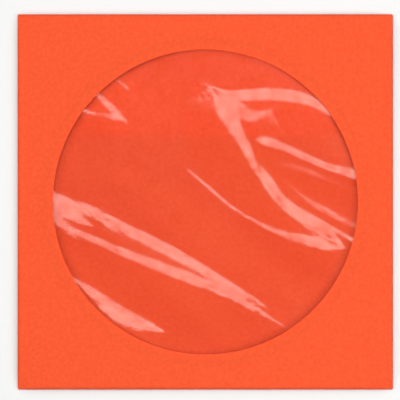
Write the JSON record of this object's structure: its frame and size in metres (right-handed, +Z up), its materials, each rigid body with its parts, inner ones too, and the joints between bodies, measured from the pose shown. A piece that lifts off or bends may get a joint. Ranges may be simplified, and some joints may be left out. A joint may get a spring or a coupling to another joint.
{
  "type": "compact disc sleeve",
  "caption": "Square folded paper sleeve for a compact disc, with a large round film window in front, glued side seams and a closing flap folded behind.",
  "frame": {"origin": "middle of the resting side: the centre of the back's outer face, at the level that the sleeve lies on", "axes": "+Z up out of the window side, +Y towards the edge where the closing flap folds behind, +X to the right as seen from the window side"},
  "size_m": [0.125, 0.125, 0.0022],
  "materials": {
    "sleeve_paper": "matt uncoated orange paper, dyed right through, with a faint fibre mottle",
    "window_film": "clear glossy film, slack and wrinkled",
    "glue": "dried pale adhesive, slightly glossy"
  },
  "bodies": {
    "root": {"sleeve_paper": "sleeve_paper", "window_film": "window_film", "window_glue": "glue", "right_seam_glue": "glue", "left_seam_glue": "glue"}
  },
  "joints": []
}
